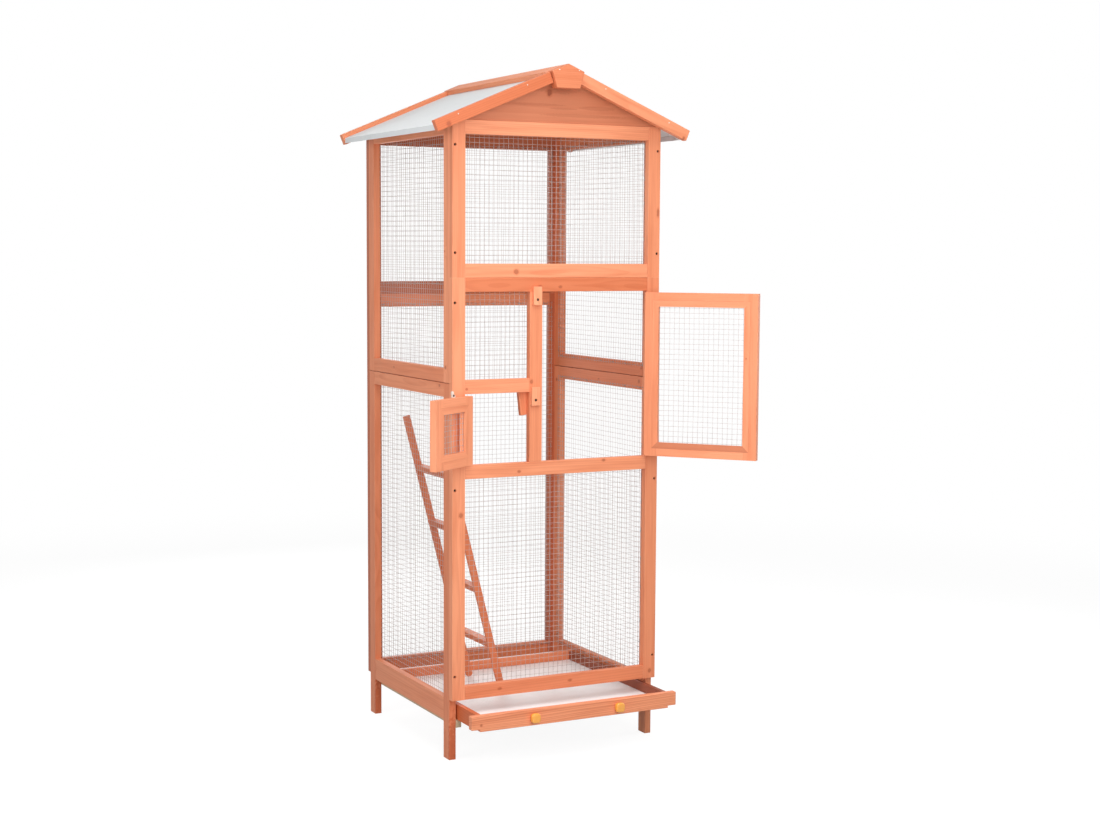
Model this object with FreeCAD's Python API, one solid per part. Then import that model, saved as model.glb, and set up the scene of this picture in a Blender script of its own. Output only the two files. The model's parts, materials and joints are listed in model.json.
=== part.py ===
import FreeCAD, Part
import math
import os

# A flat-pack bird cage on four legs: batten frames with welded mesh, a gabled sheet roof,
# two doors held by turn-buttons, a pull-out tray and a loose ladder.
# Millimetres, +Z up, the origin on the floor under the middle of the body, the front towards -Y.
# The doors stand open and the tray is pulled out, as the cage is shown.
Vector = FreeCAD.Vector

# The body and the battens of its frames
body_width = 557.0
body_depth = 541.0
batten_width = 33.0
batten_thickness = 17.0

# Heights of the frames above the floor
front_bottom = 147.0
rear_bottom = 105.0
front_split = 1149.0
rear_split = 1099.0
side_split = 901.0
side_split_gap = 1.5
panel_top = 1514.0
side_sill_bottom = 92.0
side_sill_height = 55.0

# The door openings in the lower front frame
door_sill = 709.0
small_door_head = 877.0
# The small door's part of the width between the stiles
small_door_share = 0.3442

# Welded mesh: the solid carries one strand for every few wires, as heavy as those wires together
net_pitch = 63.5
net_strand = 1.6
net_thickness = 1.6
net_lap = 10.0

# The roof
roof_pitch = math.radians(22.7)
roof_heel = 5.0
roof_half_width = 340.0
front_overhang = 36.5
rear_overhang = 31.0
sheet_thickness = 0.8
sheet_lip = 13.0
sheet_flange = 12.0
sheet_setback = 5.0
barge_width = 27.0
barge_thickness = 17.0
barge_rise = 11.0
gable_setback = 3.0
ridge_batten_width = 45.0
ridge_batten_thickness = 12.0
ridge_plate_proud = 9.0
ridge_plate_height = 57.0
ridge_plate_half_top = 42.0
ridge_plate_half_foot = 30.5
ridge_plate_gap = 1.0

# The tray
tray_out = 107.0
tray_gap = 13.0
tray_height = 38.0
tray_board_inset = 2.0
tray_wall = 12.0
tray_side_gap = 3.5
tray_rear_gap = 6.0
tray_panel = 3.0
tray_panel_up = 12.0
tray_groove = 4.0
tray_panel_slack = 0.3
tray_notch_length = 22.0
tray_notch_height = 5.5
runner_width = 15.0
runner_height = 19.0
runner_clearance = 0.3
knob_spread = 228.0
knob_radius = 12.5
knob_length = 14.0
knob_neck_radius = 7.5
knob_neck_length = 3.0
knob_chamfer = 2.5

# The doors
large_door_open = 130.5
small_door_open = 145.0
door_side_gap = 2.2
door_end_gap = 3.0
door_stop_clearance = 0.4
rabbet_width = 14.0
rabbet_depth = 6.0
net_edge_gap = 1.5

# The hinges
hinge_height = 38.0
large_door_hinge_inset = 50.0
small_door_hinge_inset = 22.0
leaf_width = 15.0
leaf_thickness = 0.9
leaf_start = 0.4
knuckle_radius = 2.6
knuckle_off_face = 0.15
knuckle_clearance = 0.25
pin_radius = 1.2
pin_clearance = 0.05

# The turn-buttons and the stop behind the small door
button_width = 21.0
button_length = 44.0
button_thickness = 9.0
button_pivot_up = 13.0
button_off_face = 0.4
button_top_over_rail = 12.0
button_screw_radius = 2.1
button_screw_clearance = 0.06
button_screw_head_radius = 3.4
button_screw_head_height = 2.0
button_screw_sink = 1.0
button_screw_grip = 14.0
lower_button_shift = -4.0
stop_width = 34.0
stop_height = 62.0
stop_thickness = 12.0
stop_tilt = 6.5
stop_over_head = 8.0
stop_over_mullion = 12.0

# The ladder
ladder_length = 708.0
ladder_rail_width = 18.0
ladder_rail_thickness = 8.0
ladder_span = 196.0
ladder_foot_out = 183.0
ladder_centre_y = -24.0
ladder_clearance = 0.4
ladder_rungs = 4
ladder_first_rung = 116.0
ladder_rung_step = 146.5
ladder_rung_height = 15.0

# The screws that hold the front and rear frames to the side frames
screw_inset = 58.0
screw_edge = 7.0
screw_head_radius = 3.5
screw_head_height = 3.0
screw_radius = 2.0
screw_length = 36.0
screw_sink = 5.0
screw_clearance = 0.1

# Small rounds are drawn with flats, to keep the part light
screw_side_count = 8
hinge_side_count = 12
knob_side_count = 12

# How far a cutting tool runs past what it cuts
overrun = 2.0

# Planes that the frames share
front_face = -body_depth / 2
front_inner = front_face + batten_thickness
rear_face = body_depth / 2
rear_inner = rear_face - batten_thickness
side_face = body_width / 2
side_inner = side_face - batten_thickness
stile_edge = side_face - batten_width
mullion_left = 2 * stile_edge * small_door_share - stile_edge
mullion_right = mullion_left + batten_width
door_head = front_split - batten_width

# The underside of the roof sheets over the middle of the cage
roof_under = panel_top + roof_heel + side_face * math.tan(roof_pitch)
barge_front = front_face - front_overhang
barge_front_inner = barge_front + barge_thickness
barge_rear = rear_face + rear_overhang
barge_rear_inner = barge_rear - barge_thickness

# Levels of the tray
tray_top = front_bottom - tray_gap
tray_bottom = tray_top - tray_height
tray_panel_bottom = tray_bottom + tray_panel_up
tray_floor = tray_panel_bottom + tray_panel
tray_half = side_inner - tray_side_gap
tray_front = front_face - tray_out
tray_board_back = tray_front + batten_thickness
tray_rear = rear_inner - tray_rear_gap - tray_out

# Places of the hinge pins
pin_y = front_face - knuckle_radius - knuckle_off_face
large_pin_x = stile_edge - door_side_gap / 2
small_pin_x = -stile_edge + door_side_gap / 2


def block(x0, x1, y0, y1, z0, z1):
    """A box between two corners."""
    return Part.makeBox(x1 - x0, y1 - y0, z1 - z0, Vector(x0, y0, z0))


def mirrored(shape):
    """The same piece on the other side of the cage."""
    return shape.mirror(Vector(0, 0, 0), Vector(1, 0, 0))


def pair(shape):
    """A piece and its twin on the other side."""
    return [shape, mirrored(shape)]


def prism(points, y0, y1):
    """An outline of (x, z) points carried from y0 to y1."""
    corners = [Vector(x, y0, z) for x, z in points]
    face = Part.Face(Part.makePolygon(corners + corners[:1]))
    return face.extrude(Vector(0, y1 - y0, 0))


def flats(radius, sides):
    """Corners of a regular polygon round the origin, with flats square to the axes."""
    turns = [2 * math.pi * (count + 0.5) / sides for count in range(sides)]
    return [(radius * math.cos(turn), radius * math.sin(turn)) for turn in turns]


def around(radius, sides):
    """The corner radius of a bore whose flats clear a round bar of this radius."""
    return radius / math.cos(math.pi / sides)


def rod(x, z, y0, y1, radius, sides):
    """A bar with flats along Y, its corners on the radius."""
    return prism([(x + across, z + up) for across, up in flats(radius, sides)], y0, y1)


def post(x, y, z0, z1, radius):
    """A hinge bar with flats along Z, its corners on the radius."""
    corners = [Vector(x + across, y + back, z0) for across, back in flats(radius, hinge_side_count)]
    face = Part.Face(Part.makePolygon(corners + corners[:1]))
    return face.extrude(Vector(0, 0, z1 - z0))


def save(node, solids):
    """Writes the solids of one node."""
    Part.Compound(solids).exportStep(os.path.join("parts", node + ".step"))


def rectangle(x0, x1, z0, z1):
    """A rectangular wire in the XZ plane."""
    corners = [Vector(x0, 0, z0), Vector(x1, 0, z0), Vector(x1, 0, z1), Vector(x0, 0, z1)]
    return Part.makePolygon(corners + corners[:1])


def net(x0, x1, z0, z1):
    """A flat net: one face with a grid of gaps about one pitch wide, given its thickness along +Y."""
    columns = max(1, round((x1 - x0 - net_strand) / net_pitch))
    rows = max(1, round((z1 - z0 - net_strand) / net_pitch))
    step_x = (x1 - x0 - net_strand) / columns
    step_z = (z1 - z0 - net_strand) / rows
    wires = [rectangle(x0, x1, z0, z1)]
    for column in range(columns):
        left = x0 + net_strand + column * step_x
        for row in range(rows):
            low = z0 + net_strand + row * step_z
            wires.append(rectangle(left, left + step_x - net_strand, low, low + step_z - net_strand))
    face = Part.makeFace(wires, "Part::FaceMakerBullseye")
    return face.extrude(Vector(0, net_thickness, 0))


def lapped_net(x0, x1, z0, z1):
    """A net that laps over the edges of its window."""
    return net(x0 - net_lap, x1 + net_lap, z0 - net_lap, z1 + net_lap)


def moved(shape, x, y, z):
    """A copy of the shape, shifted."""
    copy = shape.copy()
    copy.translate(Vector(x, y, z))
    return copy


def screw_heights():
    """Heights of the screws in the front and in the rear frames."""
    front = [panel_top - screw_inset, front_split + screw_inset, front_split - screw_inset]
    front += [door_sill - screw_inset, front_bottom + screw_inset]
    rear = [panel_top - screw_inset, rear_split + screw_inset, rear_split - screw_inset]
    rear += [(rear_split + rear_bottom) / 2, rear_bottom + screw_inset]
    return front, rear


def screw_bar(x, z, slack):
    """One screw of the front right stile, or its hole when slack is given."""
    head_top = front_face + screw_sink
    head_seat = head_top + screw_head_height
    mouth = front_face - overrun if slack else head_top
    head = rod(x, z, mouth, head_seat, screw_head_radius + slack, screw_side_count)
    shank = rod(x, z, head_seat, head_seat + screw_length + slack, screw_radius + slack, screw_side_count)
    return head.fuse(shank).removeSplitter()


def screws_and_holes():
    """All the frame screws, and the tools that cut their holes."""
    x = side_face - screw_edge
    front, rear = screw_heights()
    screws = []
    holes = []
    for heights, turn in ((front, False), (rear, True)):
        for z in heights:
            for slack, kept in ((0, screws), (screw_clearance, holes)):
                bar = screw_bar(x, z, slack)
                if turn:
                    bar = bar.mirror(Vector(0, 0, 0), Vector(0, 1, 0))
                kept.extend(pair(bar))
    return screws, holes


def drilled(solid, holes):
    """The solid with those of the screw holes that meet it."""
    box = solid.BoundBox
    near = [hole for hole in holes if box.intersect(hole.BoundBox)]
    return solid.cut(near) if near else solid


def end_frame(name, y0, y1, bottom, top, rails, holes):
    """A front or rear frame: two stiles for its whole height, with rails between them."""
    stile = block(stile_edge, side_face, y0, y1, bottom, top)
    save(name + "_stiles", [drilled(solid, holes) for solid in pair(stile)])
    save(name + "_rails", [block(-stile_edge, stile_edge, y0, y1, low, high) for low, high in rails])


def front_frames(holes):
    """The upper front frame, and the lower one with its two door openings."""
    upper_rails = [(front_split, front_split + batten_width), (panel_top - batten_width, panel_top)]
    end_frame("front_upper", front_face, front_inner, front_split, panel_top, upper_rails, holes)
    lower_rails = [(door_head, front_split), (door_sill - batten_width, door_sill)]
    lower_rails.append((front_bottom, front_bottom + batten_width))
    end_frame("front_lower", front_face, front_inner, front_bottom, front_split, lower_rails, holes)
    mullion = block(mullion_left, mullion_right, front_face, front_inner, door_sill, door_head)
    for solid in button_screw_holes():
        mullion = mullion.cut(solid)
    save("front_mullion", [mullion])
    head_top = small_door_head + batten_width
    middle_rail = block(-stile_edge, mullion_left, front_face, front_inner, small_door_head, head_top)
    save("front_middle_rail", [middle_rail])
    upper = lapped_net(-stile_edge, stile_edge, front_split + batten_width, panel_top - batten_width)
    middle = lapped_net(-stile_edge, mullion_left, head_top, door_head)
    lower = lapped_net(-stile_edge, stile_edge, front_bottom + batten_width, door_sill - batten_width)
    save("front_upper_mesh", [moved(upper, 0, front_inner, 0)])
    save("front_middle_mesh", [moved(middle, 0, front_inner, 0)])
    save("front_lower_mesh", [moved(lower, 0, front_inner, 0)])


def rear_frames(holes):
    """The two rear frames, without doors."""
    upper_rails = [(rear_split, rear_split + batten_width), (panel_top - batten_width, panel_top)]
    end_frame("rear_upper", rear_inner, rear_face, rear_split, panel_top, upper_rails, holes)
    lower_rails = [(rear_bottom, rear_bottom + batten_width), (rear_split - batten_width, rear_split)]
    end_frame("rear_lower", rear_inner, rear_face, rear_bottom, rear_split, lower_rails, holes)
    upper = lapped_net(-stile_edge, stile_edge, rear_split + batten_width, panel_top - batten_width)
    lower = lapped_net(-stile_edge, stile_edge, rear_bottom + batten_width, rear_split - batten_width)
    save("rear_upper_mesh", [moved(upper, 0, rear_inner - net_thickness, 0)])
    save("rear_lower_mesh", [moved(lower, 0, rear_inner - net_thickness, 0)])


def side_net(low, high):
    """The net of a window in the right side frame, on its inner face."""
    half = rear_inner - batten_width
    upright = lapped_net(-half, half, low, high)
    upright.rotate(Vector(0, 0, 0), Vector(0, 0, 1), 90)
    return moved(upright, side_inner, 0, 0)


def side_frames(holes):
    """Both side frames: the upper ones, and the lower ones whose stiles run down as the legs."""
    edge = rear_inner - batten_width
    sill_top = side_sill_bottom + side_sill_height
    upper_bottom = side_split + side_split_gap
    upper_window = upper_bottom + batten_width
    upper_rails = [(upper_bottom, upper_window), (panel_top - batten_width, panel_top)]
    lower_rails = [(side_split - batten_width, side_split), (side_sill_bottom, sill_top)]
    pieces = {"upper_stiles": [], "legs": [], "upper_rails": [], "lower_rails": []}
    for y0, y1 in ((front_inner, -edge), (edge, rear_inner)):
        pieces["upper_stiles"].append(block(side_inner, side_face, y0, y1, upper_bottom, panel_top))
        pieces["legs"].append(block(side_inner, side_face, y0, y1, 0, side_split))
    for low, high in upper_rails:
        pieces["upper_rails"].append(block(side_inner, side_face, -edge, edge, low, high))
    for low, high in lower_rails:
        pieces["lower_rails"].append(block(side_inner, side_face, -edge, edge, low, high))
    pieces["upper_mesh"] = [side_net(upper_window, panel_top - batten_width)]
    pieces["lower_mesh"] = [side_net(sill_top, side_split - batten_width)]
    for piece, solids in pieces.items():
        if piece in ("upper_stiles", "legs"):
            save("right_" + piece, [drilled(solid, holes) for solid in solids])
            save("left_" + piece, [drilled(mirrored(solid), holes) for solid in solids])
        else:
            save("right_" + piece, solids)
            save("left_" + piece, [mirrored(solid) for solid in solids])


def on_slope(along, above):
    """The (x, z) point of the right roof slope, from the underside of the sheets at the ridge."""
    x = along * math.cos(roof_pitch) + above * math.sin(roof_pitch)
    z = roof_under - along * math.sin(roof_pitch) + above * math.cos(roof_pitch)
    return x, z


def at_ridge(above):
    """The (x, z) point over the middle of the cage, at a height square to the slope."""
    return 0, roof_under + above / math.cos(roof_pitch)


def roof():
    """Gable boards, folded sheets, barge boards, ridge battens and ridge plates."""
    gable = [(-side_face, panel_top), (side_face, panel_top), (side_face, panel_top + roof_heel)]
    gable += [at_ridge(0), (-side_face, panel_top + roof_heel)]
    save("front_gable_board", [prism(gable, front_face + gable_setback, front_inner)])
    save("rear_gable_board", [prism(gable, rear_inner, rear_face - gable_setback)])

    barge_top = sheet_thickness + barge_rise
    eave = (roof_half_width - barge_top * math.sin(roof_pitch)) / math.cos(roof_pitch)
    sheet_end = eave - sheet_setback
    lip_outer, lip_top = on_slope(sheet_end, sheet_thickness)
    lip_inner = lip_outer - sheet_thickness
    lip_low = lip_top - sheet_lip
    lip_bend = roof_under - lip_inner * math.tan(roof_pitch)
    profile = [at_ridge(0), (lip_inner, lip_bend), (lip_inner, lip_low)]
    profile += [(lip_outer, lip_low), (lip_outer, lip_top), at_ridge(sheet_thickness)]
    sheet = prism(profile, barge_front_inner, barge_rear_inner)
    flange = [at_ridge(-sheet_flange), on_slope(sheet_end - sheet_lip, -sheet_flange)]
    flange += [on_slope(sheet_end - sheet_lip, 0), at_ridge(0)]
    sheet = sheet.fuse(prism(flange, barge_front_inner, barge_front_inner + sheet_thickness))
    sheet = sheet.fuse(prism(flange, barge_rear_inner - sheet_thickness, barge_rear_inner)).removeSplitter()
    save("right_roof_sheet", [sheet])
    save("left_roof_sheet", [mirrored(sheet)])

    plate_top = roof_under + (sheet_thickness + ridge_batten_thickness) / math.cos(roof_pitch)
    plate_side = plate_top - ridge_plate_half_top * math.tan(roof_pitch)
    plate_foot = plate_top - ridge_plate_height
    barge_start = barge_upper_end(plate_foot, plate_side)
    low = barge_top - barge_width
    barge = [on_slope(barge_start, low), on_slope(eave, low)]
    barge += [on_slope(eave, barge_top), on_slope(barge_start, barge_top)]
    save("front_barge_boards", pair(prism(barge, barge_front, barge_front_inner)))
    save("rear_barge_boards", pair(prism(barge, barge_rear_inner, barge_rear)))

    batten_top = sheet_thickness + ridge_batten_thickness
    batten = [at_ridge(sheet_thickness), on_slope(ridge_batten_width, sheet_thickness)]
    batten += [on_slope(ridge_batten_width, batten_top), at_ridge(batten_top)]
    save("ridge_battens", pair(prism(batten, barge_front_inner, barge_rear_inner)))

    plate = [(0, plate_top), (ridge_plate_half_top, plate_side), (ridge_plate_half_foot, plate_foot)]
    plate += [(-ridge_plate_half_foot, plate_foot), (-ridge_plate_half_top, plate_side)]
    front_plate = prism(plate, barge_front - ridge_plate_proud, barge_front_inner)
    rear_plate = prism(plate, barge_rear_inner, barge_rear + ridge_plate_proud)
    save("ridge_plates", [front_plate, rear_plate])


def barge_upper_end(plate_foot, plate_side):
    """How far down the slope the square upper end of a barge board just clears the ridge plate."""
    side_run = (ridge_plate_half_top - ridge_plate_half_foot) / (plate_side - plate_foot)
    corner = sheet_thickness + barge_rise - barge_width
    lift = corner * math.cos(roof_pitch)
    lean = corner * math.sin(roof_pitch)
    wall_at_ridge = ridge_plate_half_foot + (roof_under + lift - plate_foot) * side_run
    closing = math.cos(roof_pitch) + math.sin(roof_pitch) * side_run
    return (wall_at_ridge + ridge_plate_gap - lean) / closing


def tray():
    """The pull-out tray: boards round a white panel let into their grooves, and two knobs."""
    inner = tray_half - tray_wall
    rear_board_front = tray_rear - tray_wall
    reach = inner + tray_groove
    groove_front = tray_board_back - tray_groove
    groove_rear = rear_board_front + tray_groove
    groove_top = tray_floor + tray_panel_slack
    groove = block(-reach, reach, groove_front, groove_rear, tray_panel_bottom, groove_top)
    half = side_face - tray_board_inset
    notch_top = tray_bottom + tray_notch_height
    outline = [(-half, tray_top), (-half, notch_top), (tray_notch_length - half, notch_top)]
    outline += [(tray_notch_length - half, tray_bottom)]
    outline += [(-x, z) for x, z in reversed(outline)]
    save("tray_front_board", [prism(outline, tray_front, tray_board_back).cut(groove)])
    side = block(inner, tray_half, tray_board_back, rear_board_front, tray_bottom, tray_top)
    save("tray_side_boards", [solid.cut(groove) for solid in pair(side)])
    rear_board = block(-tray_half, tray_half, rear_board_front, tray_rear, tray_bottom, tray_top)
    save("tray_rear_board", [rear_board.cut(groove)])
    edge = reach - tray_panel_slack
    panel_front = groove_front + tray_panel_slack
    panel_rear = groove_rear - tray_panel_slack
    save("tray_panel", [block(-edge, edge, panel_front, panel_rear, tray_panel_bottom, tray_floor)])
    knob_z = (tray_top + tray_bottom) / 2
    save("tray_knobs", [knob(x, knob_z) for x in (-knob_spread / 2, knob_spread / 2)])
    runner_top = tray_bottom - runner_clearance
    runner_bottom = runner_top - runner_height
    runner_edge = side_inner - runner_width
    runner = block(runner_edge, side_inner, front_inner, rear_inner, runner_bottom, runner_top)
    save("tray_runners", pair(runner))


def knob(x, z):
    """A faceted pull on the front of the tray: a neck that flares to a disc with a chamfered face."""
    stations = [(0, knob_neck_radius), (knob_neck_length, knob_neck_radius)]
    stations += [(knob_neck_length + knob_chamfer, knob_radius), (knob_length - knob_chamfer, knob_radius)]
    stations += [(knob_length, knob_radius - knob_chamfer)]
    rings = []
    for out, radius in stations:
        ring = flats(radius, knob_side_count)
        corners = [Vector(x + across, tray_front - out, z + up) for across, up in ring]
        rings.append(Part.makePolygon(corners + corners[:1]))
    return Part.makeLoft(rings, True, True)


def turned(shape, pin_x, angle):
    """The shape of a closed door, swung open about its pin."""
    copy = shape.copy()
    copy.rotate(Vector(pin_x, pin_y, 0), Vector(0, 0, 1), angle)
    return copy


def door(name, x0, x1, z0, z1, pin_x, angle, inset):
    """A door: battens with a rabbet round the window, and a net in the rabbet."""
    inner = front_inner - door_stop_clearance
    left = x0 + batten_width
    right = x1 - batten_width
    low = z0 + batten_width
    high = z1 - batten_width
    seat = inner - rabbet_depth
    across = (left - rabbet_width, right + rabbet_width)
    upright = (low - rabbet_width, high + rabbet_width)
    rabbet = block(*across, seat, inner + overrun, *upright)
    stiles = [block(x0, left, front_face, inner, z0, z1), block(right, x1, front_face, inner, z0, z1)]
    rails = [block(left, right, front_face, inner, *ends) for ends in ((z0, low), (high, z1))]
    lap = rabbet_width - net_edge_gap
    mesh = moved(net(left - lap, right + lap, low - lap, high + lap), 0, seat, 0)
    save(name + "_stiles", [turned(solid.cut(rabbet), pin_x, angle) for solid in stiles])
    save(name + "_rails", [turned(solid.cut(rabbet), pin_x, angle) for solid in rails])
    save(name + "_mesh", [turned(mesh, pin_x, angle)])
    heights = [z0 + inset, z1 - inset - hinge_height]
    save(name + "_frame_hinge_leaves", [frame_leaf(pin_x, z) for z in heights])
    save(name + "_hinge_leaves", [turned(door_leaf(pin_x, z), pin_x, angle) for z in heights])


def leaf_plate(pin_x, z, on_frame):
    """The flat of a hinge leaf on the front face, from beside the pin over the stile or over the door."""
    away = math.copysign(1, pin_x) * (1 if on_frame else -1)
    start = pin_x + away * leaf_start
    tip = pin_x + away * leaf_width
    front = front_face - leaf_thickness
    return block(min(start, tip), max(start, tip), front, front_face, z, z + hinge_height)


def frame_leaf(pin_x, z):
    """The leaf on the frame, with the two outer knuckles and the pin."""
    third = hinge_height / 3
    plate = leaf_plate(pin_x, z, True)
    clear_radius = around(knuckle_radius + knuckle_clearance, hinge_side_count)
    relief = post(pin_x, pin_y, z + third, z + 2 * third, clear_radius)
    plate = plate.cut(relief)
    for low, high in ((z, z + third), (z + 2 * third, z + hinge_height)):
        plate = plate.fuse(post(pin_x, pin_y, low, high, knuckle_radius))
    plate = plate.fuse(post(pin_x, pin_y, z, z + hinge_height, pin_radius))
    return plate.removeSplitter()


def door_leaf(pin_x, z):
    """The leaf on the door, with the middle knuckle bored for the pin."""
    third = hinge_height / 3
    low = z + third + knuckle_clearance
    high = z + 2 * third - knuckle_clearance
    plate = leaf_plate(pin_x, z, False)
    clear_radius = around(knuckle_radius + knuckle_clearance, hinge_side_count)
    for start, end in ((z - overrun, low), (high, z + hinge_height + overrun)):
        plate = plate.cut(post(pin_x, pin_y, start, end, clear_radius))
    bore = post(pin_x, pin_y, z, z + hinge_height, around(pin_radius + pin_clearance, hinge_side_count))
    return plate.fuse(post(pin_x, pin_y, low, high, knuckle_radius)).cut(bore).removeSplitter()


def doors():
    """The large door at the right and the small door at the left."""
    low = door_sill + door_end_gap
    large = (mullion_right + door_side_gap, stile_edge - door_side_gap, low, door_head - door_end_gap)
    door("large_door", *large, large_pin_x, large_door_open, large_door_hinge_inset)
    small = (-stile_edge + door_side_gap, mullion_left - door_side_gap, low, small_door_head - door_end_gap)
    door("small_door", *small, small_pin_x, -small_door_open, small_door_hinge_inset)


def button_pivots():
    """The (x, z) pivots of the upper and the lower turn-button."""
    x = (mullion_left + mullion_right) / 2
    upper = door_head + button_top_over_rail - button_length + button_pivot_up
    lower = small_door_head + button_top_over_rail - button_length + button_pivot_up
    return (x, upper), (x + lower_button_shift, lower)


def button_screw(x, z, slack):
    """The pivot screw of a turn-button, or its hole when slack is given."""
    front = front_face - button_off_face - button_thickness
    seat = front + button_screw_sink + button_screw_head_height + slack
    tip = front_face + button_screw_grip + slack
    mouth = front - overrun if slack else front + button_screw_sink
    head_radius = button_screw_head_radius
    shank_radius = button_screw_radius
    if slack:
        head_radius = around(head_radius + slack, hinge_side_count)
        shank_radius = around(shank_radius + slack, hinge_side_count)
    head = rod(x, z, mouth, seat, head_radius, hinge_side_count)
    return head.fuse(rod(x, z, seat, tip, shank_radius, hinge_side_count)).removeSplitter()


def button_screw_holes():
    """The tools that bore the buttons and the mullion for the pivot screws."""
    return [button_screw(x, z, button_screw_clearance) for x, z in button_pivots()]


def turn_buttons():
    """Two wooden turn-buttons, pointing up, on screws in the mullion, and the stop for the small door."""
    half = button_width / 2
    rear = front_face - button_off_face
    for name, (x, z), hole in zip(("upper", "lower"), button_pivots(), button_screw_holes()):
        low = z - button_pivot_up
        bar = block(x - half, x + half, rear - button_thickness, rear, low, low + button_length)
        save(name + "_turn_button", [bar.cut(hole)])
    save("turn_button_screws", [button_screw(x, z, 0) for x, z in button_pivots()])
    right = mullion_left + stop_over_mullion
    top = small_door_head + stop_over_head
    back = front_inner + stop_thickness
    stop = block(right - stop_width, right, front_inner, back, top - stop_height, top)
    stop.rotate(Vector(right, 0, top), Vector(0, 1, 0), -stop_tilt)
    save("small_door_stop", [stop])


def ladder():
    """A loose ladder that stands in the tray and leans on the left net, its rails rounded at the foot."""
    half = ladder_rail_width / 2
    net_face = -side_inner + net_thickness + ladder_clearance
    foot_x = net_face + ladder_foot_out
    foot_z = tray_floor + ladder_clearance + half
    top = ladder_length - half
    lean = math.asin(ladder_foot_out / math.hypot(half, top)) - math.atan2(half, top)

    def leaned(shape):
        """The shape of the upright ladder, tipped to the left and stood on its feet."""
        shape.rotate(Vector(0, 0, 0), Vector(0, 1, 0), -math.degrees(lean))
        shape.translate(Vector(foot_x, ladder_centre_y, foot_z))
        return shape

    rails = []
    for side in (-1, 1):
        y = side * ladder_span / 2 - ladder_rail_thickness / 2
        rail = block(-half, half, y, y + ladder_rail_thickness, 0, top)
        foot = Part.makeCylinder(half, ladder_rail_thickness, Vector(0, y, 0), Vector(0, 1, 0))
        rails.append(leaned(rail.fuse(foot).removeSplitter()))
    save("ladder_rails", rails)
    reach = (ladder_span - ladder_rail_thickness) / 2
    rungs = []
    for count in range(ladder_rungs):
        low = ladder_first_rung + count * ladder_rung_step
        rungs.append(leaned(block(-half, half, -reach, reach, low, low + ladder_rung_height)))
    save("ladder_rungs", rungs)


def build():
    """Writes every node of the cage."""
    os.makedirs("parts", exist_ok=True)
    screws, holes = screws_and_holes()
    save("frame_screws", screws)
    front_frames(holes)
    rear_frames(holes)
    side_frames(holes)
    roof()
    tray()
    doors()
    turn_buttons()
    ladder()


build()
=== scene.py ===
import json
import math

import bmesh
import bpy
import numpy as np
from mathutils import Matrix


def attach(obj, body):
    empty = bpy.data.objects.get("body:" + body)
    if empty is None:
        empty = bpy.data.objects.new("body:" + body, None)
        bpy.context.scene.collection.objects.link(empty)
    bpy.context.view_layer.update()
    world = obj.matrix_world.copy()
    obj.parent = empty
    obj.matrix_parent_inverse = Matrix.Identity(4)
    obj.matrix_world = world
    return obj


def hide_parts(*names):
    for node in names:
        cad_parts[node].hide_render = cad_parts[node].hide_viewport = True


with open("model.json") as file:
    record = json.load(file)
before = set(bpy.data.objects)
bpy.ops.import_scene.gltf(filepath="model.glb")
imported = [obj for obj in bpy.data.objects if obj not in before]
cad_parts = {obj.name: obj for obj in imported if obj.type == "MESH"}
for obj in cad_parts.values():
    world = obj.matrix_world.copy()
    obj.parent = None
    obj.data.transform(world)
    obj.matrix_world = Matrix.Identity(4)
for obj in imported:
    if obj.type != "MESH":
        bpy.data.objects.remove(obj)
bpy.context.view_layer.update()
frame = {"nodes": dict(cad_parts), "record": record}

# The looks of a stained fir bird cage: eased battens with grain and knots, fine welded nets with
# their staples, screws and nails, moulded knobs, a painted sheet roof, and the studio round it.
# Metres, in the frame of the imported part.
scene = bpy.context.scene
mm = 0.001
record = frame["record"]
body_of_node = {node: body for body, nodes in record["behaviour"]["bodies"].items() for node in nodes}
slot_of_node = {row["node"]: row["material_slot"] for row in record["subparts"]}

# The camera of the photograph
camera_place = (-1.9656, -4.0315, 1.2117)
camera_yaw = math.radians(-26.97)
camera_pitch = math.radians(5.40)
camera_roll = math.radians(0.295)
camera_lens = 57.93
camera_sensor = 36.0
camera_shift = (0.0102, 0.0059)

# Eased edges of the wood and of the folded sheet
merge_distance = 1e-6
flat_angle = math.radians(0.5)
ease_angle = math.radians(50)
ease_segments = 3
wood_ease = 1.3 * mm
sheet_ease = 0.3 * mm
panel_ease = 0.5 * mm
leaf_ease = 0.15 * mm
door_ease = 0.25 * mm

# Strips that cover the edges of the doors' nets, flush with the inner faces of the doors
strip_width = 15.2 * mm
strip_thickness = 4.3 * mm
strip_edge = 1.3 * mm
strip_gap = 0.05 * mm
strip_round = 0.12 * mm
lower_strip_rise = 0.3 * mm

# Welded nets
net_pitch = 12.7 * mm
wire_radius = 0.38 * mm
wire_layer = 0.3 * mm
wire_stub = 3.5 * mm
wire_sides = 6
wire_segments = 7
wire_wander = 0.45 * mm
wander_seed = 7
wander_waves = (5.1, 11.3)
second_wave_share = 0.6
net_lap = 10 * mm
net_bulge = 2.2 * mm

# The surround's light on the object, and soft boxes: place, aim, width, height and power
world_fill = 0.06
lamps = {
    "front_box": ((-0.4, -1.8, 1.2), (0.0, -0.27, 0.45), 1.2, 1.9, 25.5),
    "top_box": ((-0.2, -1.3, 3.4), (0.0, -0.25, 1.0), 2.4, 2.0, 44.0),
    "left_box": ((-2.2, -0.5, 1.4), (0.0, 0.0, 0.9), 1.2, 1.6, 21.5),
    "right_box": ((2.3, -0.3, 1.5), (0.0, 0.0, 0.9), 1.2, 1.6, 18.0),
    "rear_box": ((0.15, 2.4, 1.35), (0.0, 0.2, 0.5), 1.1, 1.4, 26.0),
}

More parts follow.
